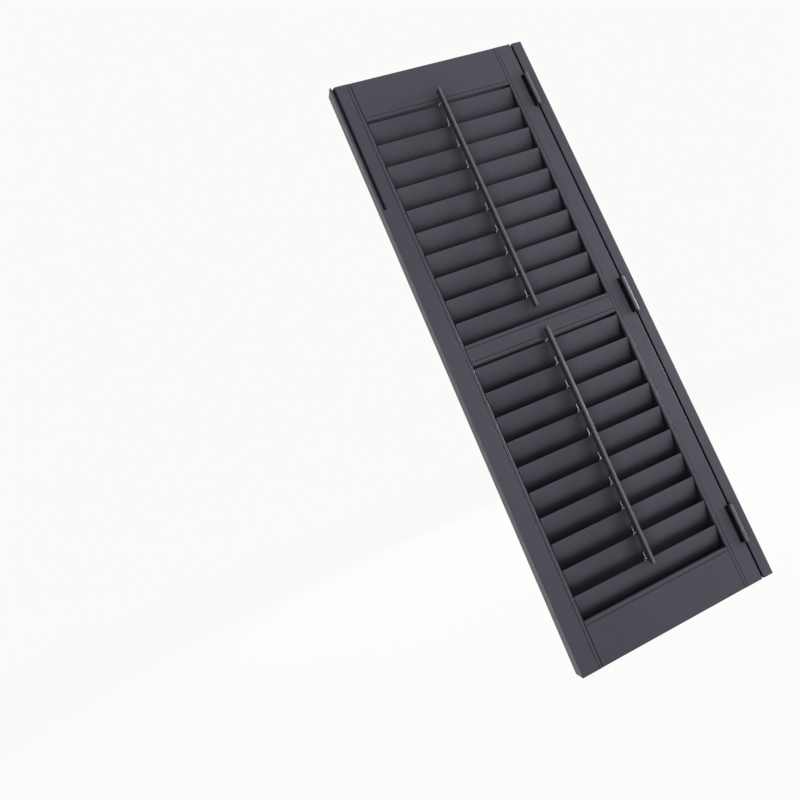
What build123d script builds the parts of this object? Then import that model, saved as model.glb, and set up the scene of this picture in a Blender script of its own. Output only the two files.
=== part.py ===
from build123d import *
import os
from math import cos, radians, sin

# Louvred bifold shutter unit: a hang strip, fixed by its outer edge to a window jamb, and one louvred
# leaf hinged to it. Millimetres. The front faces -Y, +X points to the jamb and +Z is up. The origin is
# the centre of the strip's jamb face.

# Unit
height = 1250.0
thickness = 28.0
strip_width = 23.5
joint_gap = 4.5
leaf_width = 428.0

# Leaf frame
hinge_stile_width = 44.0
meeting_stile_width = 45.0
top_rail_height = 92.0
divider_height = 44.0
divider_middle_z = 4.0
bottom_rail_height = 87.0
arris_radius = 0.8

# Rail lips that overlap the end louvres of a section and keep the light out
lip_thickness = 10.0
recess_depth = 22.0
stop_drop = 6.0

# Bead worked on the inner edges of the frame
bead_radius = 3.0
quirk_from_edge = 7.5
quirk_width = 1.2
quirk_depth = 0.8

# Stopped groove at the top of the meeting stile's front face
groove_from_edge = 3.5
groove_width = 5.0
groove_depth = 6.0
groove_length = 285.0
groove_arris = 3.0

# Louvres
louvres_per_section = 10
louvre_width = 68.0
louvre_thickness = 9.0
louvre_nose_radius = 1.5
louvre_end_gap = 1.2
louvre_rest_angle = 22.0
first_louvre_drop = 37.4
last_louvre_rise = 15.5

# Louvre pins
pin_diameter = 6.0
pin_length = 11.0
pin_play = 0.25
pin_hole_depth = 12.0

# Tilt rods and the interlocking staples
rod_width = 6.0
rod_depth = 13.0
rod_above_first_staple = 22.0
upper_rod_tail = 28.0
lower_rod_tail = 8.0
rod_front_radius = 1.2
staple_wire = 1.2
staple_spread = 8.0
staple_embed = 3.0
staple_reach = 3.6
staple_play = 0.3
rod_staple_above_pivot = 14.0
first_staple_above_pivot = 1.8
rod_staple_below_pivot = 2.0
rod_standoff = 9.3

# Butt hinges
hinge_length = 76.0
hinge_plate_thickness = 1.5
hinge_plate_depth = 24.0
hinge_from_end = 80.0
middle_hinge_rise = 6.0
knuckle_count = 5
knuckle_radius = 4.0
knuckle_gap = 0.3
knuckle_to_face = 0.6
plate_to_knuckle = 0.4
hinge_pin_radius = 2.1
hinge_bore_play = 0.1
pin_head_radius = 3.0
pin_head_height = 1.6
notch_width = 9.0
notch_depth = 8.0
notch_end_clearance = 1.0

# Places worked out from the sizes above
top_z = height / 2
front_y = -thickness / 2
back_y = thickness / 2
leaf_edge_x = -(strip_width + joint_gap)
leaf_outer_x = leaf_edge_x - leaf_width
opening_right_x = leaf_edge_x - hinge_stile_width
opening_left_x = leaf_outer_x + meeting_stile_width
opening_width = opening_right_x - opening_left_x
opening_mid_x = (opening_right_x + opening_left_x) / 2
upper_top_z = top_z - top_rail_height
upper_bottom_z = divider_middle_z + divider_height / 2
lower_top_z = divider_middle_z - divider_height / 2
lower_bottom_z = -top_z + bottom_rail_height
pivot_radius = louvre_width / 2 + staple_reach
pivot_y = -pivot_radius * sin(radians(louvre_rest_angle))
pivot_rise = pivot_radius * cos(radians(louvre_rest_angle))
rod_back_y = pivot_y - rod_standoff
hinge_axis_x = -(strip_width + joint_gap / 2)
hinge_axis_y = front_y - knuckle_to_face - knuckle_radius
hinge_centres = {
    "top": top_z - hinge_from_end - hinge_length / 2,
    "middle": middle_hinge_rise,
    "bottom": -top_z + hinge_from_end + hinge_length / 2,
}


def louvre_heights(section_top_z, section_bottom_z):
    """Heights of the louvre axes of one section, evenly spaced, from the top down."""
    first = section_top_z - first_louvre_drop
    last = section_bottom_z + last_louvre_rise
    pitch = (first - last) / (louvres_per_section - 1)
    return [first - index * pitch for index in range(louvres_per_section)]


upper_louvre_heights = louvre_heights(upper_top_z, upper_bottom_z)
lower_louvre_heights = louvre_heights(lower_top_z, lower_bottom_z)


def block(x_range, y_range, z_range):
    """A box between two values on each axis."""
    sizes = [high - low for low, high in (x_range, y_range, z_range)]
    middle = [(high + low) / 2 for low, high in (x_range, y_range, z_range)]
    return Pos(*middle) * Box(*sizes)


def soften(section, x, y, radius):
    """Round the corner of a section that lies nearest to x, y."""
    corner = section.vertices().sort_by_distance((x, y, 0))[0]
    return fillet(corner, radius)


def quirk(edge_x, side, face_y):
    """The narrow groove that sets off a bead, side being the direction from the edge into the wood."""
    middle_x = edge_x + side * (quirk_from_edge + quirk_width / 2)
    return Pos(middle_x, face_y) * Rectangle(quirk_width, 2 * quirk_depth)


def stile_profile(width, inner_side):
    """Section of a stile, beaded on both faces at its inner edge and eased at its outer edge."""
    inner_x = inner_side * width / 2
    section = Rectangle(width, thickness)
    for face_y in (front_y, back_y):
        section -= quirk(inner_x, -inner_side, face_y)
    for face_y in (front_y, back_y):
        section = soften(section, inner_x, face_y, bead_radius)
        section = soften(section, -inner_x, face_y, arris_radius)
    return section


def rail_profile(width, louvres_above, louvres_below):
    """Section of a rail, X up and Y to the front: a front lip under louvres, a rear stop over them."""
    high_x = width / 2
    low_x = -high_x
    front = thickness / 2
    back = -front
    section = Rectangle(width, thickness)
    back_high_y = back
    back_low_x = low_x
    if louvres_above:
        recess = Rectangle(2 * recess_depth, 2 * (thickness - lip_thickness))
        section -= Pos(high_x, back) * recess
        section -= quirk(high_x, -1, front)
        back_high_y = front - lip_thickness
    if louvres_below:
        stop = Rectangle(stop_drop, lip_thickness)
        section += Pos(low_x - stop_drop / 2, back + lip_thickness / 2) * stop
        section -= quirk(low_x, 1, front)
        back_low_x = low_x - stop_drop
    section = soften(section, high_x, back_high_y, arris_radius)
    section = soften(section, back_low_x, back, arris_radius)
    section = soften(section, high_x, front, bead_radius if louvres_above else arris_radius)
    return soften(section, low_x, front, bead_radius if louvres_below else arris_radius)


def upright(section, middle_x):
    """A full-height member with its section centred on middle_x."""
    return Pos(middle_x, 0, -top_z) * extrude(section, height)


def drill_pin_holes(stile, edge_x):
    """Blind holes for the louvre pins, from the stile's inner edge."""
    hole_radius = pin_diameter / 2 + pin_play
    hole = Rot(0, 90, 0) * Cylinder(hole_radius, 2 * pin_hole_depth)
    for z in upper_louvre_heights + lower_louvre_heights:
        stile -= Pos(edge_x, 0, z) * hole
    return stile


def make_hinge_stile():
    """The stile next to the strip, notched beside each hinge barrel."""
    section = stile_profile(hinge_stile_width, inner_side=-1)
    stile = upright(section, (leaf_edge_x + opening_right_x) / 2)
    half_notch = hinge_length / 2 + notch_end_clearance
    for centre_z in hinge_centres.values():
        stile -= block((leaf_edge_x - notch_width, leaf_edge_x + notch_width),
                       (front_y - notch_depth, front_y + notch_depth),
                       (centre_z - half_notch, centre_z + half_notch))
    return drill_pin_holes(stile, opening_right_x)


def make_meeting_stile():
    """The free stile, with the stopped groove down from its top end."""
    section = stile_profile(meeting_stile_width, inner_side=1)
    stile = upright(section, (leaf_outer_x + opening_left_x) / 2)
    far_x = groove_width + groove_arris
    corners = [(0, -groove_arris), (far_x, -groove_arris), (far_x, 0), (groove_width, groove_arris),
               (groove_width, groove_depth), (0, groove_depth)]
    groove_section = Polygon(*corners, align=None)
    groove = extrude(groove_section, groove_length)
    stile -= Pos(leaf_outer_x + groove_from_edge, front_y, top_z - groove_length) * groove
    return drill_pin_holes(stile, opening_left_x)


def make_rail(low_z, high_z, louvres_above, louvres_below):
    """A rail between the stiles."""
    section = rail_profile(high_z - low_z, louvres_above, louvres_below)
    start = (opening_left_x, 0, (low_z + high_z) / 2)
    section_plane = Plane(origin=start, x_dir=(0, 0, 1), z_dir=(1, 0, 0))
    return extrude(section_plane * section, opening_width)


def make_staple(spread, reach):
    """A square wire staple across X, standing along +Z from z = 0 to its crown at reach."""
    legs = Pos(0, 0, reach / 2) * Box(spread, staple_wire, reach)
    inside = Pos(0, 0, reach / 2 - staple_wire) * Box(spread - 2 * staple_wire, 2 * staple_wire, reach)
    return legs - inside


def blade_section():
    """Section of a louvre blade, its width along Y: two flat arcs with a round nose at each edge."""
    nose = louvre_nose_radius
    flank_y = louvre_width / 2 - nose
    right = ThreePointArc((nose, -flank_y), (louvre_thickness / 2, 0), (nose, flank_y))
    top = ThreePointArc((nose, flank_y), (0, louvre_width / 2), (-nose, flank_y))
    left = mirror(right, Plane.YZ)
    bottom = mirror(top, Plane.XZ)
    return make_face([right, top, left, bottom])


def make_louvre(z):
    """A blade on end pins, with its staple in the front edge, turned to the rest angle."""
    half_length = opening_width / 2 - louvre_end_gap
    blade = extrude(Plane.YZ * blade_section(), half_length, both=True)
    blade += Rot(0, 90, 0) * Cylinder(pin_diameter / 2, opening_width + 2 * pin_length)
    leg = Box(staple_wire, staple_wire, staple_embed + staple_reach)
    leg_middle_z = louvre_width / 2 + (staple_reach - staple_embed) / 2
    for side in (-1, 1):
        blade += Pos(side * (staple_spread - staple_wire) / 2, 0, leg_middle_z) * leg
    blade += Pos(0, 0, pivot_radius) * Rot(0, 90, 0) * Cylinder(staple_wire / 2, staple_spread)
    return Pos(opening_mid_x, 0, z) * Rot(louvre_rest_angle, 0, 0) * blade


def make_tilt_rod(heights, tail):
    """A deep narrow rod, eased at its front, with a staple hooked through each louvre's own staple.

    The staples are tall, so that the rod can slide a little. The first one is short, to pass under the
    rail."""
    rod = block((opening_mid_x - rod_width / 2, opening_mid_x + rod_width / 2),
                (rod_back_y - rod_depth, rod_back_y),
                (heights[-1] + pivot_rise - tail, heights[0] + pivot_rise + rod_above_first_staple))
    rod = fillet(rod.faces().sort_by(Axis.Y)[0].edges(), rod_front_radius)
    reach = staple_embed + rod_standoff + 1.5 * staple_wire + staple_play
    for index, z in enumerate(heights):
        above = rod_staple_above_pivot if index else first_staple_above_pivot
        staple = make_staple(above + rod_staple_below_pivot, reach)
        middle_z = z + pivot_rise + (above - rod_staple_below_pivot) / 2
        place = Pos(opening_mid_x, rod_back_y - staple_embed, middle_z)
        rod += place * Rot(-90, 0, 0) * Rot(0, 0, 90) * staple
    return rod


def hinge_knuckles(centre_z, first):
    """Every second knuckle of one hinge as barrel blanks, starting with number first from the top."""
    spacing = hinge_length / knuckle_count
    top = centre_z + hinge_length / 2
    centres = [top - (index + 0.5) * spacing for index in range(first, knuckle_count, 2)]
    return centres, spacing - knuckle_gap


def make_hinge_leaf(centre_z, first, wood_x, side):
    """One hinge plate flat on the wood at wood_x, with its knuckles rolled round the hinge axis."""
    plate_x = sorted((wood_x, wood_x - side * hinge_plate_thickness))
    plate_front_y = hinge_axis_y + knuckle_radius + plate_to_knuckle
    z_range = (centre_z - hinge_length / 2, centre_z + hinge_length / 2)
    leaf = block(plate_x, (plate_front_y, plate_front_y + hinge_plate_depth), z_range)
    centres, knuckle_length = hinge_knuckles(centre_z, first)
    for z in centres:
        knuckle_z = (z - knuckle_length / 2, z + knuckle_length / 2)
        leaf += block(plate_x, (hinge_axis_y, plate_front_y), knuckle_z)
        leaf += Pos(hinge_axis_x, hinge_axis_y, z) * Cylinder(knuckle_radius, knuckle_length)
        bore = Cylinder(hinge_pin_radius + hinge_bore_play, hinge_length)
        leaf -= Pos(hinge_axis_x, hinge_axis_y, z) * bore
    return leaf


def make_hinge_pin(centre_z):
    """A loose pin with a button head at each end of the barrel."""
    pin = Cylinder(hinge_pin_radius, hinge_length + 2 * pin_head_height)
    head = Cylinder(pin_head_radius, pin_head_height)
    for side in (-1, 1):
        pin += Pos(0, 0, side * (hinge_length + pin_head_height) / 2) * head
    return Pos(hinge_axis_x, hinge_axis_y, centre_z) * pin


def make_hang_strip():
    strip = block((-strip_width, 0), (front_y, back_y), (-top_z, top_z))
    return fillet(strip.edges().filter_by(Axis.Z), arris_radius)


def build_parts():
    parts = {
        "hang_strip": make_hang_strip(),
        "hinge_stile": make_hinge_stile(),
        "meeting_stile": make_meeting_stile(),
        "top_rail": make_rail(upper_top_z, top_z, louvres_above=False, louvres_below=True),
        "divider_rail": make_rail(lower_top_z, upper_bottom_z, louvres_above=True, louvres_below=True),
        "bottom_rail": make_rail(-top_z, lower_bottom_z, louvres_above=True, louvres_below=False),
    }
    for section, heights, tail in (("upper", upper_louvre_heights, upper_rod_tail),
                                   ("lower", lower_louvre_heights, lower_rod_tail)):
        for number, z in enumerate(heights, start=1):
            parts[f"{section}_louvre_{number:02d}"] = make_louvre(z)
        parts[f"{section}_tilt_rod"] = make_tilt_rod(heights, tail)
    for place, centre_z in hinge_centres.items():
        parts[f"{place}_hinge_strip_plate"] = make_hinge_leaf(centre_z, 0, -strip_width, 1)
        parts[f"{place}_hinge_leaf_plate"] = make_hinge_leaf(centre_z, 1, leaf_edge_x, -1)
        parts[f"{place}_hinge_pin"] = make_hinge_pin(centre_z)
    return parts


os.makedirs("parts", exist_ok=True)
for name, solid in build_parts().items():
    export_step(solid, f"parts/{name}.step")
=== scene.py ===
import bpy
import bmesh
import math
from mathutils import Matrix, Vector


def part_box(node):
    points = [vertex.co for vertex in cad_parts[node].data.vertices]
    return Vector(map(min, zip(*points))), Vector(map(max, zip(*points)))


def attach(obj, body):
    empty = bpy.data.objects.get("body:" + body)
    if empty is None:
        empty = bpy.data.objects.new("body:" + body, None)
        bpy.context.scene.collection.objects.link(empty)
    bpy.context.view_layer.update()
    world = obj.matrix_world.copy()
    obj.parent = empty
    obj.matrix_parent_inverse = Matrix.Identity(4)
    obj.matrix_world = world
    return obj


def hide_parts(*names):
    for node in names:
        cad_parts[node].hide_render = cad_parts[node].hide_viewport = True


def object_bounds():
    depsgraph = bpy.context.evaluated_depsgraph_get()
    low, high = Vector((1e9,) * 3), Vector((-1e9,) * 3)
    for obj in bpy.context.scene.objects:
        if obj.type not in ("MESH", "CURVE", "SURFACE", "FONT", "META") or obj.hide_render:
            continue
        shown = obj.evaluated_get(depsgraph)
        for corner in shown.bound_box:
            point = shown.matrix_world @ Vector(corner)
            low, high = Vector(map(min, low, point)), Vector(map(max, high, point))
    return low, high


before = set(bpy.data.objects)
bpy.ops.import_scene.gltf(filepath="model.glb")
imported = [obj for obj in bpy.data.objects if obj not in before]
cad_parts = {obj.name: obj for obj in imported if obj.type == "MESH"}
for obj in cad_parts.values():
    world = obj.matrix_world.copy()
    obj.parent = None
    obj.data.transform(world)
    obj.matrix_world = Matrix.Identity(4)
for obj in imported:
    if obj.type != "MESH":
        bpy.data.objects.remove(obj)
cad_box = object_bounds()

# Named sizes are in millimetres, unless they say otherwise, and MM turns them into the scene's metres.
# The front of the shutter faces -Y, and +X points to the jamb.
MM = 0.001

# Louvres and their end pins
BLADE_WIDTH = 68.0
BLADE_THICKNESS = 9.0
NOSE_RADIUS = 1.5
BLADE_END_GAP = 1.2
REST_ANGLE = math.radians(22.0)
PIN_RADIUS = 3.0
PIN_LENGTH = 11.0
PIN_ROOT = 2.0
PIN_SIDES = 24

# Rounding of a blade's ends, as how far the section shrinks and how far from the end it does so
END_ROUNDING = ((1.0, 0.0), (0.35, 0.25), (0.0, 0.9))

# Tilt rods
ROD_WIDTH = 6.0
ROD_DEPTH = 13.0
ROD_FRONT_RADIUS = 1.2
ROD_BACK_EASE = 0.4

# Staples: reach is from the blade's edge to the pivot, and above and below are measured from the pivot
WIRE_DIAMETER = 1.2
WIRE_BEND = 1.2
WIRE_SIDES = 8
STAPLE_REACH = 3.6
STAPLE_SPREAD = 8.0
STAPLE_EMBED = 3.0
CROWN_BEHIND_PIVOT = 1.5
ROD_STAPLE_ABOVE = 14.0
FIRST_STAPLE_ABOVE = 1.8
ROD_STAPLE_BELOW = 2.0

# Hinge screws: places are above the plate's middle and in front of its rear edge, and the profile is
# a share of the radius and a height over the plate
SCREW_RADIUS = 3.3
SCREW_SIDES = 24
SCREW_PLACES = ((-26.0, 8.0), (0.0, 14.0), (26.0, 8.0))
SCREW_PROFILE = ((1.0, -0.05), (1.0, 0.1), (0.85, 0.2), (0.4, 0.22))
CROSS_HEIGHT = 0.25
CROSS_TURN = 0.6
CROSS_ARM_SHARE = 0.5
CROSS_WIDTH_SHARE = 0.1
STRIP_PLATE_FACE_X = -25.0
LEAF_PLATE_FACE_X = -26.5

# Colours, linear
PAINT = (0.065, 0.067, 0.092)
# The rods' paint is lighter than the frame's: a painted highlight on their fronts
ROD_PAINT_PAINTED_HIGHLIGHT = (0.158, 0.162, 0.178)
# The recess colour is painted shade, which the paint turns to in gaps and crevices
PAINTED_RECESS_SHADE = (0.028, 0.0285, 0.036)
DARK_NICKEL = (0.125, 0.13, 0.145)
STAPLE_STEEL = (0.44, 0.44, 0.45)

# Reach of the painted recess shade, in metres: how near a neighbour has to be to darken the paint's colour
# and sheen
REACH_UPRIGHT = 0.025
REACH_RAIL = 0.018
REACH_LOUVRE = 0.045


class Graph:
    """A node tree, with short calls for the nodes that the finishes are made of."""

    def __init__(self, tree):
        self.nodes = tree.nodes
        self.links = tree.links

    def feed(self, socket, source):
        """Give a socket a number, a colour, a vector or another node's output."""
        if isinstance(source, bpy.types.NodeSocket):
            self.links.new(source, socket)
        elif socket.type == "RGBA":
            socket.default_value = (*source, 1.0)
        else:
            socket.default_value = source

    def noise(self, vector, scale, detail, roughness=0.5):
        node = self.nodes.new("ShaderNodeTexNoise")
        sources = (("Vector", vector), ("Scale", scale), ("Detail", detail), ("Roughness", roughness))
        for key, source in sources:
            self.feed(node.inputs[key], source)
        return node.outputs["Fac"]

    def stretched(self, vector, scales):
        node = self.nodes.new("ShaderNodeMapping")
        self.feed(node.inputs["Vector"], vector)
        self.feed(node.inputs["Scale"], scales)
        return node.outputs["Vector"]

    def ranged(self, value, low, high, out_low=0.0, out_high=1.0):
        node = self.nodes.new("ShaderNodeMapRange")
        self.feed(node.inputs["Value"], value)
        for key, number in (("From Min", low), ("From Max", high), ("To Min", out_low), ("To Max", out_high)):
            self.feed(node.inputs[key], number)
        return node.outputs["Result"]

    def math(self, operation, first, second):
        node = self.nodes.new("ShaderNodeMath")
        node.operation = operation
        self.feed(node.inputs[0], first)
        self.feed(node.inputs[1], second)
        return node.outputs["Value"]

    def vector_math(self, operation, *sources):
        node = self.nodes.new("ShaderNodeVectorMath")
        node.operation = operation
        for socket, source in zip(node.inputs, sources):
            self.feed(socket, source)
        return node

    def mix(self, factor, first, second):
        """Blend from the first colour to the second."""
        node = self.nodes.new("ShaderNodeMix")
        node.data_type = "RGBA"
        colours = [socket for socket in node.inputs if socket.type == "RGBA"]
        self.feed(node.inputs["Factor"], factor)
        self.feed(colours[0], first)
        self.feed(colours[1], second)
        return [socket for socket in node.outputs if socket.type == "RGBA"][0]

    def mix_shaders(self, factor, first, second):
        node = self.nodes.new("ShaderNodeMixShader")
        self.feed(node.inputs["Fac"], factor)
        self.feed(node.inputs[1], first)
        self.feed(node.inputs[2], second)
        return node.outputs["Shader"]

    def bump(self, height, distance, strength, normal):
        node = self.nodes.new("ShaderNodeBump")
        sources = (("Height", height), ("Distance", distance), ("Strength", strength), ("Normal", normal))
        for key, source in sources:
            self.feed(node.inputs[key], source)
        return node.outputs["Normal"]

    def object_vector(self, seed):
        """Object coordinates, moved by the seed and by a random step, so that no two pieces look alike."""
        place = self.nodes.new("ShaderNodeTexCoord").outputs["Object"]
        chance = self.nodes.new("ShaderNodeObjectInfo").outputs["Random"]
        moved = self.vector_math("MULTIPLY_ADD", chance, (3.1, 2.3, 4.7), place)
        shift = (seed, seed * 0.7, seed * 1.3)
        return self.vector_math("ADD", moved.outputs["Vector"], shift).outputs["Vector"]

    def edges(self, radius):
        """How sharply the surface turns within a radius, 0 on flats, and the rounded normal there."""
        bevel = self.nodes.new("ShaderNodeBevel")
        bevel.samples = 6
        self.feed(bevel.inputs["Radius"], radius)
        flat = self.nodes.new("ShaderNodeNewGeometry").outputs["Normal"]
        dot = self.vector_math("DOT_PRODUCT", bevel.outputs["Normal"], flat)
        return self.math("SUBTRACT", 1.0, dot.outputs["Value"]), bevel.outputs["Normal"]

    def painted_shade_openness(self, reach):
        """1 on open faces, falling to 0 in gaps narrower than about the reach: the mask of the painted recess
        shade.
        """
        closed_at = 0.55
        falloff = 1.6
        node = self.nodes.new("ShaderNodeAmbientOcclusion")
        node.samples = 8
        self.feed(node.inputs["Distance"], reach)
        share = self.ranged(node.outputs["AO"], closed_at, 1.0)
        return self.math("POWER", share, falloff)

    def seen_share(self):
        """1 for rays from the camera, a glossy surface or a clear one, and 0 for light on the object."""
        path = self.nodes.new("ShaderNodeLightPath").outputs
        share = self.math("MAXIMUM", path["Is Camera Ray"], path["Is Glossy Ray"])
        return self.math("MAXIMUM", share, path["Is Transmission Ray"])


def new_material(name):
    """A material with its graph and the inputs of its principled shader."""
    material = bpy.data.materials.new(name)
    material.use_nodes = True
    graph = Graph(material.node_tree)
    return material, graph, graph.nodes["Principled BSDF"].inputs


def scaled(colour, factor):
    return tuple(channel * factor for channel in colour)


def with_grain(axis, across, along):
    """Noise scales, per metre, that draw a pattern out along the grain's axis."""
    return (along, across, across) if axis == "x" else (across, across, along)


def painted_wood(name, grain, seed, reach, roughness=0.40, paint=PAINT):
    """Satin paint over wood: faint grain along one axis, roller stipple, thin paint at the arrises, and
    painted shade in gaps and crevices.
    """
    material, graph, shader = new_material(name)
    vector = graph.object_vector(seed)
    wide = graph.stretched(vector, with_grain(grain, across=150.0, along=6.0))
    fine = graph.stretched(vector, with_grain(grain, across=700.0, along=25.0))
    grain_wide = graph.noise(wide, scale=1.0, detail=5.0, roughness=0.6)
    grain_fine = graph.noise(fine, scale=1.0, detail=3.0, roughness=0.6)
    stipple = graph.noise(vector, scale=900.0, detail=2.0)
    cloud = graph.noise(vector, scale=7.0, detail=3.0)
    smear = graph.noise(vector, scale=45.0, detail=4.0, roughness=0.6)
    turning, rounded = graph.edges(radius=0.0012)
    unshaded_share = graph.painted_shade_openness(reach)

    colour = graph.mix(graph.ranged(cloud, 0.3, 0.7), scaled(paint, 0.94), scaled(paint, 1.06))
    streak = graph.ranged(grain_wide, 0.35, 0.65, 0.0, 0.16)
    colour = graph.mix(streak, colour, scaled(paint, 0.75))
    wear = graph.ranged(smear, 0.35, 0.65, 0.15, 0.6)
    worn = graph.math("MULTIPLY", graph.ranged(turning, 0.03, 0.35), wear)
    colour = graph.mix(worn, colour, scaled(paint, 1.6))
    # Painted shade: the colour turns to the recess colour where neighbours are near
    graph.feed(shader["Base Color"], graph.mix(unshaded_share, PAINTED_RECESS_SHADE, colour))
    graph.feed(shader["Roughness"], graph.ranged(smear, 0.3, 0.7, roughness - 0.05, roughness + 0.07))
    # Painted shade in the sheen too: the specular level falls in gaps and crevices
    graph.feed(shader["Specular IOR Level"], graph.ranged(unshaded_share, 0.0, 1.0, 0.12, 0.42))

    normal = graph.bump(grain_wide, distance=0.00022, strength=0.35, normal=rounded)
    normal = graph.bump(grain_fine, distance=0.00006, strength=0.35, normal=normal)
    normal = graph.bump(stipple, distance=0.00005, strength=0.45, normal=normal)
    graph.feed(shader["Normal"], normal)
    return material


def satin_metal(name, colour, roughness, seed):
    """Satin plated steel: fine brushing round the barrel, dull specks and a cloudy tone."""
    material, graph, shader = new_material(name)
    vector = graph.object_vector(seed)
    rings = graph.stretched(vector, (200.0, 200.0, 3500.0))
    brushed = graph.noise(rings, scale=1.0, detail=3.0, roughness=0.6)
    cloud = graph.noise(vector, scale=120.0, detail=4.0, roughness=0.6)
    speck = graph.noise(vector, scale=1400.0, detail=2.0)
    rounded = graph.edges(radius=0.0006)[1]

    base = graph.mix(graph.ranged(cloud, 0.3, 0.7), scaled(colour, 0.9), colour)
    dull = graph.ranged(speck, 0.62, 0.75, 0.0, 0.35)
    graph.feed(shader["Base Color"], graph.mix(dull, base, scaled(colour, 0.45)))
    graph.feed(shader["Metallic"], 1.0)
    graph.feed(shader["Roughness"], graph.ranged(brushed, 0.3, 0.7, roughness - 0.06, roughness + 0.08))
    graph.feed(shader["Normal"], graph.bump(brushed, distance=0.00003, strength=0.4, normal=rounded))
    return material


def painted_shade_black(name, seed):
    """Painted shade for the bottom of a screw's cross: a near-black colour with a random mottle."""
    material, graph, shader = new_material(name)
    mottle = graph.noise(graph.object_vector(seed), scale=800.0, detail=3.0)
    tone = graph.mix(graph.ranged(mottle, 0.3, 0.7), (0.01, 0.01, 0.011), (0.03, 0.03, 0.031))
    graph.feed(shader["Base Color"], tone)
    graph.feed(shader["Roughness"], 0.7)
    return material


paint_up = painted_wood("slate_paint_upright", "z", seed=0.0, reach=REACH_UPRIGHT)
paint_across = painted_wood("slate_paint_across", "x", seed=5.0, reach=REACH_RAIL)
# The top rail's painted shade reaches as far as the louvres'
paint_top = painted_wood("slate_paint_top", "x", seed=7.0, reach=REACH_LOUVRE)
paint_blade = painted_wood("slate_paint_blade", "x", seed=9.0, reach=REACH_LOUVRE)
# The rods' lighter paint is a painted highlight
paint_rod_painted_highlight = painted_wood("slate_paint_rod", "z", seed=13.0, reach=REACH_LOUVRE, roughness=0.28,
                         paint=ROD_PAINT_PAINTED_HIGHLIGHT)
nickel = satin_metal("dark_satin_nickel", DARK_NICKEL, roughness=0.45, seed=2.0)
wire_steel = satin_metal("staple_wire", STAPLE_STEEL, roughness=0.42, seed=4.0)
screw_cross_shade = painted_shade_black("screw_cross_shade", seed=6.0)


# Mesh helpers

def mesh_object(name, build, materials):
    mesh = bpy.data.meshes.new(name)
    bm = bmesh.new()
    build(bm)
    bmesh.ops.recalc_face_normals(bm, faces=bm.faces)
    bm.to_mesh(mesh)
    bm.free()
    for material in materials:
        mesh.materials.append(material)
    obj = bpy.data.objects.new(name, mesh)
    bpy.context.collection.objects.link(obj)
    return obj


def circle(centre, across, up, radius, count):
    """Points round a centre, in the plane of two unit vectors."""
    angles = (2 * math.pi * step / count for step in range(count))
    return [centre + radius * (math.cos(angle) * across + math.sin(angle) * up) for angle in angles]


def loft(bm, rings, material=0):
    """Skin a list of closed rings of the same count, and cap both ends."""
    rows = [[bm.verts.new(point) for point in ring] for ring in rings]
    count = len(rows[0])
    for lower, upper in zip(rows, rows[1:]):
        for index in range(count):
            after = (index + 1) % count
            face = bm.faces.new((lower[index], lower[after], upper[after], upper[index]))
            face.material_index = material
            face.smooth = True
    for row in (rows[0], rows[-1]):
        bm.faces.new(row).material_index = material


def tube(bm, points, radius, sides, material=0):
    """A round wire along a polyline, with mitred corners."""
    rings = []
    side = None
    for index, point in enumerate(points):
        ahead = points[min(index + 1, len(points) - 1)] - point
        behind = point - points[max(index - 1, 0)]
        direction = (ahead.normalized() + behind.normalized()).normalized()
        side = direction.orthogonal() if side is None else side - direction * side.dot(direction)
        side = side.normalized()
        rings.append(circle(point, side, direction.cross(side), radius, sides))
    loft(bm, rings, material)


def bent_wire(first, corner_a, corner_b, last):
    """Points of a wire bent twice, its corners rounded."""
    steps = 4
    points = [first]
    for before, corner, after in ((first, corner_a, corner_b), (corner_a, corner_b, last)):
        start = corner + (before - corner).normalized() * WIRE_BEND * MM
        end = corner + (after - corner).normalized() * WIRE_BEND * MM
        for step in range(steps + 1):
            t = step / steps
            points.append(start * (1 - t) ** 2 + corner * 2 * t * (1 - t) + end * t ** 2)
    points.append(last)
    return points


# Louvres

def blade_outline(inset):
    """Blade section as (across, along) pairs, in millimetres: two flat arcs and two round noses."""
    arc_steps = 24
    nose_steps = 8
    half_width = BLADE_WIDTH / 2 - inset
    nose = NOSE_RADIUS - inset * 0.5
    rise = BLADE_THICKNESS / 2 - inset - nose
    flank = half_width - nose
    radius = (flank ** 2 + rise ** 2) / (2 * rise)
    spread = math.asin(flank / radius)
    half = []
    for step in range(arc_steps + 1):
        angle = -spread + 2 * spread * step / arc_steps
        half.append((nose + rise - radius + radius * math.cos(angle), radius * math.sin(angle)))
    for step in range(1, nose_steps):
        angle = math.pi * step / nose_steps
        half.append((nose * math.cos(angle), flank + nose * math.sin(angle)))
    return half + [(-across, -along) for across, along in half]


def turned(across, along):
    """A point of the blade's section, given in millimetres at the rest angle, as Y and Z in metres."""
    y = across * math.cos(REST_ANGLE) - along * math.sin(REST_ANGLE)
    z = across * math.sin(REST_ANGLE) + along * math.cos(REST_ANGLE)
    return y * MM, z * MM


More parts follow.
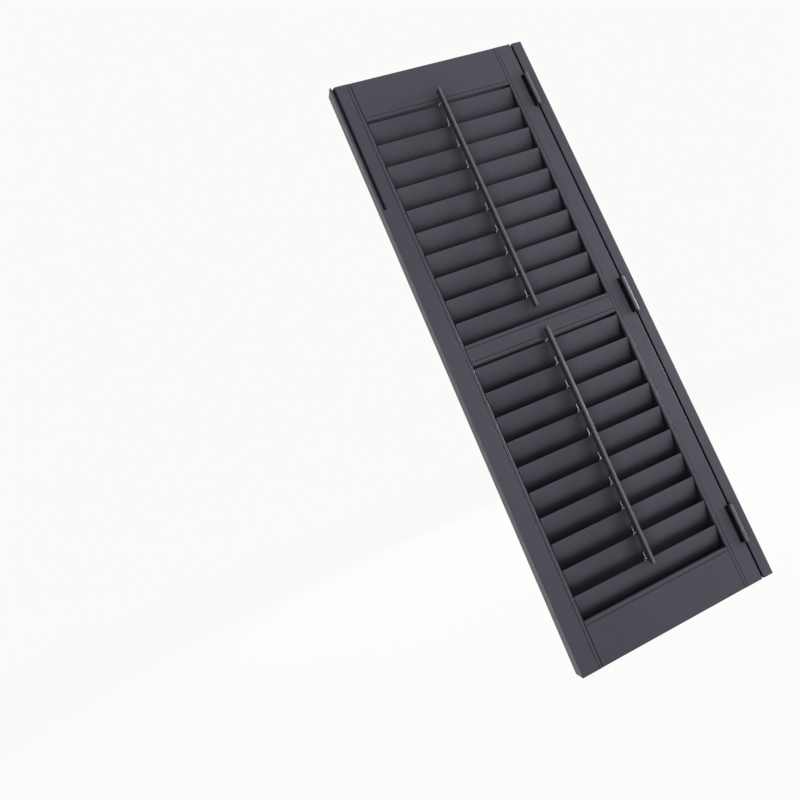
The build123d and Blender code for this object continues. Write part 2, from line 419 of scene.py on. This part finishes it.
def make_blade(name):
    """A blade on its pins, with the low staple in its front edge. Returns the centre of its axis."""
    low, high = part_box(name)
    lowest = (BLADE_WIDTH / 2 - NOSE_RADIUS) * math.cos(REST_ANGLE) + NOSE_RADIUS
    centre = Vector(((low[0] + high[0]) / 2, 0.0, low[2] + lowest * MM))
    half = (high[0] - low[0]) / 2 - (PIN_LENGTH + BLADE_END_GAP) * MM

    def build(bm):
        left = [(inset, -half + from_end * MM) for inset, from_end in END_ROUNDING]
        right = [(inset, -x) for inset, x in reversed(left)]
        rings = []
        for inset, x in left + right:
            rings.append([Vector((x, *turned(across, along))) for across, along in blade_outline(inset)])
        loft(bm, rings)
        pin_end = half + (BLADE_END_GAP + PIN_LENGTH) * MM
        for side in (-1, 1):
            pin = [Vector((side * reach, 0, 0)) for reach in (half - PIN_ROOT * MM, pin_end)]
            tube(bm, pin, PIN_RADIUS * MM, PIN_SIDES)
        foot = turned(0.0, BLADE_WIDTH / 2 - STAPLE_EMBED)
        crown = turned(0.0, BLADE_WIDTH / 2 + STAPLE_REACH)
        leg = (STAPLE_SPREAD - WIRE_DIAMETER) / 2 * MM
        corners = ((-leg, foot), (-leg, crown), (leg, crown), (leg, foot))
        wire = bent_wire(*(Vector((x, *place)) for x, place in corners))
        tube(bm, wire, WIRE_DIAMETER / 2 * MM, WIRE_SIDES, material=1)

    obj = mesh_object(name + "_blade", build, [paint_blade, wire_steel])
    obj.location = centre
    obj.modifiers.new("even_shading", "WEIGHTED_NORMAL").keep_sharp = True
    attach(obj, name)
    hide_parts(name)
    return centre


# Tilt rods

def rod_section():
    """Section of a rod, its two front corners rounded and its rear ones eased."""
    corner_steps = 8
    half_width = ROD_WIDTH / 2
    half_depth = ROD_DEPTH / 2
    radius = ROD_FRONT_RADIUS
    points = []
    for side in (1, -1):
        for step in range(corner_steps + 1):
            angle = math.pi / 2 * (step if side == 1 else corner_steps - step) / corner_steps
            x = side * (half_width - radius + radius * math.cos(angle))
            points.append((x, -half_depth + radius - radius * math.sin(angle)))
    ease = ROD_BACK_EASE
    points += [(-half_width, half_depth - ease), (-half_width + ease, half_depth),
               (half_width - ease, half_depth), (half_width, half_depth - ease)]
    return points


def make_rod(name, blade_centres):
    """A rod with its front eased at both ends, and its staples as a piece of their own."""
    end_steps = 6
    low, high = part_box(name)
    back = low[1] + ROD_DEPTH * MM
    centre = Vector(((low[0] + high[0]) / 2, (low[1] + back) / 2, (low[2] + high[2]) / 2))
    half_length = (high[2] - low[2]) / 2

    def build_bar(bm):
        rings = []
        for side in (-1, 1):
            for step in range(end_steps + 1):
                angle = math.pi / 2 * (step if side == -1 else end_steps - step) / end_steps
                push = ROD_FRONT_RADIUS * (1 - math.sin(angle))
                z = side * (half_length - ROD_FRONT_RADIUS * MM * (1 - math.cos(angle)))
                ring = []
                for x, y in rod_section():
                    nearness = 0.5 - y / ROD_DEPTH
                    ring.append(Vector((x * MM, (y + push * nearness ** 3) * MM, z)))
                rings.append(ring)
        loft(bm, rings)

    def build_staples(bm):
        pivot_y, pivot_rise = turned(0.0, BLADE_WIDTH / 2 + STAPLE_REACH)
        crown_y = pivot_y + CROWN_BEHIND_PIVOT * MM - centre.y
        start_y = back - STAPLE_EMBED * MM - centre.y
        for index, blade in enumerate(blade_centres):
            pivot_z = blade.z + pivot_rise - centre.z
            above = ROD_STAPLE_ABOVE if index else FIRST_STAPLE_ABOVE
            top = pivot_z + (above - WIRE_DIAMETER / 2) * MM
            bottom = pivot_z - (ROD_STAPLE_BELOW - WIRE_DIAMETER / 2) * MM
            corners = ((start_y, bottom), (crown_y, bottom), (crown_y, top), (start_y, top))
            wire = bent_wire(*(Vector((0, y, z)) for y, z in corners))
            tube(bm, wire, WIRE_DIAMETER / 2 * MM, WIRE_SIDES)

    bar = mesh_object(name + "_bar", build_bar, [paint_rod_painted_highlight])
    bar.location = centre
    bar.modifiers.new("even_shading", "WEIGHTED_NORMAL").keep_sharp = True
    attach(bar, name)
    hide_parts(name)
    staples = mesh_object(name + "_staples", build_staples, [wire_steel])
    staples.location = centre
    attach(staples, name)


for bank in ("upper", "lower"):
    centres = [make_blade(f"{bank}_louvre_{number:02d}") for number in range(1, 11)]
    make_rod(f"{bank}_tilt_rod", centres)


# Finishes of the frame members and hinges

def finish_of(node):
    if "_hinge_" in node:
        return nickel
    if node == "top_rail":
        return paint_top
    return paint_across if node.endswith("_rail") else paint_up


for node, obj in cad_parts.items():
    for slot in obj.material_slots:
        slot.material = finish_of(node)


# Screws on the hinge plates, seen when the leaf is open

def screw_head(bm, centre, normal):
    """A low domed head with a flat cross on it, in painted shade."""
    side = normal.orthogonal().normalized()
    radius = SCREW_RADIUS * MM
    rings = []
    for share, lift in SCREW_PROFILE:
        middle = centre + normal * lift * MM
        rings.append(circle(middle, side, normal.cross(side), radius * share, SCREW_SIDES))
    loft(bm, rings)
    middle = centre + normal * CROSS_HEIGHT * MM
    for turn in (CROSS_TURN, CROSS_TURN + math.pi / 2):
        run = math.cos(turn) * side + math.sin(turn) * normal.cross(side)
        arm = run * radius * CROSS_ARM_SHARE
        half_width = normal.cross(run) * radius * CROSS_WIDTH_SHARE
        corners = (middle - arm - half_width, middle + arm - half_width,
                   middle + arm + half_width, middle - arm + half_width)
        # The cross is a flat sheet in near-black painted shade, standing in for a recess
        bm.faces.new([bm.verts.new(point) for point in corners]).material_index = 1


def make_screws(node, body, side, face_x):
    """Three screws in a hinge plate whose bare face is at face_x and looks along X to the given side."""
    low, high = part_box(node)
    middle_z = (low[2] + high[2]) / 2

    def build(bm):
        for above, before in SCREW_PLACES:
            centre = Vector((face_x * MM, high[1] - before * MM, middle_z + above * MM))
            screw_head(bm, centre, Vector((side, 0, 0)))

    obj = mesh_object(node + "_screws", build, [nickel, screw_cross_shade])
    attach(obj, body)


for place in ("top", "middle", "bottom"):
    make_screws(f"{place}_hinge_strip_plate", "hang_strip", -1, STRIP_PLATE_FACE_X)
    make_screws(f"{place}_hinge_leaf_plate", "leaf", 1, LEAF_PLATE_FACE_X)


# Floor, backdrop and lamps, in metres

FLOOR_RADIUS = 9.0
FLOOR_SIDES = 96
FLOOR_BELOW = 0.05
FLOOR_GLOW_SHARE = 0.94
FLOOR_GLOW = (1.0, 1.0, 0.985)
FLOOR_PALE = ((0.78, 0.78, 0.77), (0.82, 0.82, 0.81))
AMBIENT = (0.96, 0.98, 1.0)
AMBIENT_STRENGTH = 0.15
SEEN_WHITE = (0.958, 0.963, 0.950)
SEEN_STRENGTH = 1.0
CENTRE_X = -0.225


def floor_finish():
    """Pale and matt, and almost white to the camera, where a little of the object's shadow stays."""
    material = bpy.data.materials.new("pale_floor")
    material.use_nodes = True
    graph = Graph(material.node_tree)
    graph.nodes.clear()
    output = graph.nodes.new("ShaderNodeOutputMaterial")
    diffuse = graph.nodes.new("ShaderNodeBsdfDiffuse")
    spot = graph.nodes.new("ShaderNodeTexCoord").outputs["Object"]
    speckle = graph.noise(spot, scale=3.0, detail=3.0)
    graph.feed(diffuse.inputs["Color"], graph.mix(graph.ranged(speckle, 0.3, 0.7), *FLOOR_PALE))
    glow = graph.nodes.new("ShaderNodeEmission")
    graph.feed(glow.inputs["Color"], FLOOR_GLOW)
    share = graph.math("MULTIPLY", graph.seen_share(), FLOOR_GLOW_SHARE)
    mixed = graph.mix_shaders(share, diffuse.outputs["BSDF"], glow.outputs["Emission"])
    graph.feed(output.inputs["Surface"], mixed)
    return material


def build_floor(bm):
    rim = circle(Vector(), Vector((1, 0, 0)), Vector((0, 1, 0)), FLOOR_RADIUS, FLOOR_SIDES)
    bm.faces.new([bm.verts.new(point) for point in rim])


def make_world():
    """Near white where it is seen, and a low even light elsewhere."""
    world = bpy.data.worlds.new("studio")
    bpy.context.scene.world = world
    world.use_nodes = True
    graph = Graph(world.node_tree)
    graph.nodes.clear()
    output = graph.nodes.new("ShaderNodeOutputWorld")
    backgrounds = []
    for colour, strength in ((AMBIENT, AMBIENT_STRENGTH), (SEEN_WHITE, SEEN_STRENGTH)):
        background = graph.nodes.new("ShaderNodeBackground")
        graph.feed(background.inputs["Color"], colour)
        graph.feed(background.inputs["Strength"], strength)
        backgrounds.append(background.outputs["Background"])
    graph.feed(output.inputs["Surface"], graph.mix_shaders(graph.seen_share(), *backgrounds))


def lamp(name, place, aim_z, size, watts):
    """A rectangular softbox aimed at the shutter's middle, at the height aim_z."""
    data = bpy.data.lights.new(name, "AREA")
    data.shape = "RECTANGLE"
    data.size, data.size_y = size
    data.energy = watts
    obj = bpy.data.objects.new(name, data)
    bpy.context.collection.objects.link(obj)
    obj.location = place
    aim = Vector((CENTRE_X, 0.0, aim_z)) - Vector(place)
    obj.rotation_euler = aim.to_track_quat("-Z", "Y").to_euler()
    return obj


floor = mesh_object("floor", build_floor, [floor_finish()])
floor.location = (CENTRE_X, 0.0, cad_box[0][2] - FLOOR_BELOW)
make_world()

lamp("side_softbox", (3.4, -0.5, -0.12), aim_z=-0.12, size=(1.7, 1.0), watts=140.0)
lamp("high_side", (2.2, -0.4, 1.3), aim_z=0.0, size=(1.2, 1.2), watts=10.0)
lamp("overhead", (-0.2, -0.6, 3.0), aim_z=0.0, size=(1.6, 1.6), watts=24.0)
lamp("front_fill", (-0.3, -2.8, -0.1), aim_z=-0.1, size=(1.8, 1.0), watts=10.0)
back_fill = lamp("back_fill", (-0.2, 2.6, 1.0), aim_z=0.0, size=(2.0, 2.0), watts=45.0)
back_fill.visible_glossy = False


# Camera at the photograph's place, fitted to its corners: the rows of its axes, and its place in metres

IMAGE_WIDTH_PIXELS = 800.0
FOCAL_LENGTH_PIXELS = 560.0
SENSOR_WIDTH = 36.0
CAMERA_PLACE = (-0.80655, -1.03899, -0.13454)
CAMERA_AXES = ((0.908142, 0.354676, -0.222449),
               (-0.168021, -0.177907, -0.969597),
               (-0.383468, 0.917907, -0.101972))

camera_data = bpy.data.cameras.new("camera")
camera_data.sensor_width = SENSOR_WIDTH
camera_data.sensor_fit = "HORIZONTAL"
camera_data.lens = SENSOR_WIDTH * FOCAL_LENGTH_PIXELS / IMAGE_WIDTH_PIXELS
camera_data.clip_end = 60.0
camera = bpy.data.objects.new("camera", camera_data)
bpy.context.collection.objects.link(camera)
camera.matrix_world = Matrix.Translation(CAMERA_PLACE) @ Matrix(CAMERA_AXES).to_4x4()
bpy.context.scene.camera = camera
bpy.context.scene.view_settings.view_transform = "Standard"
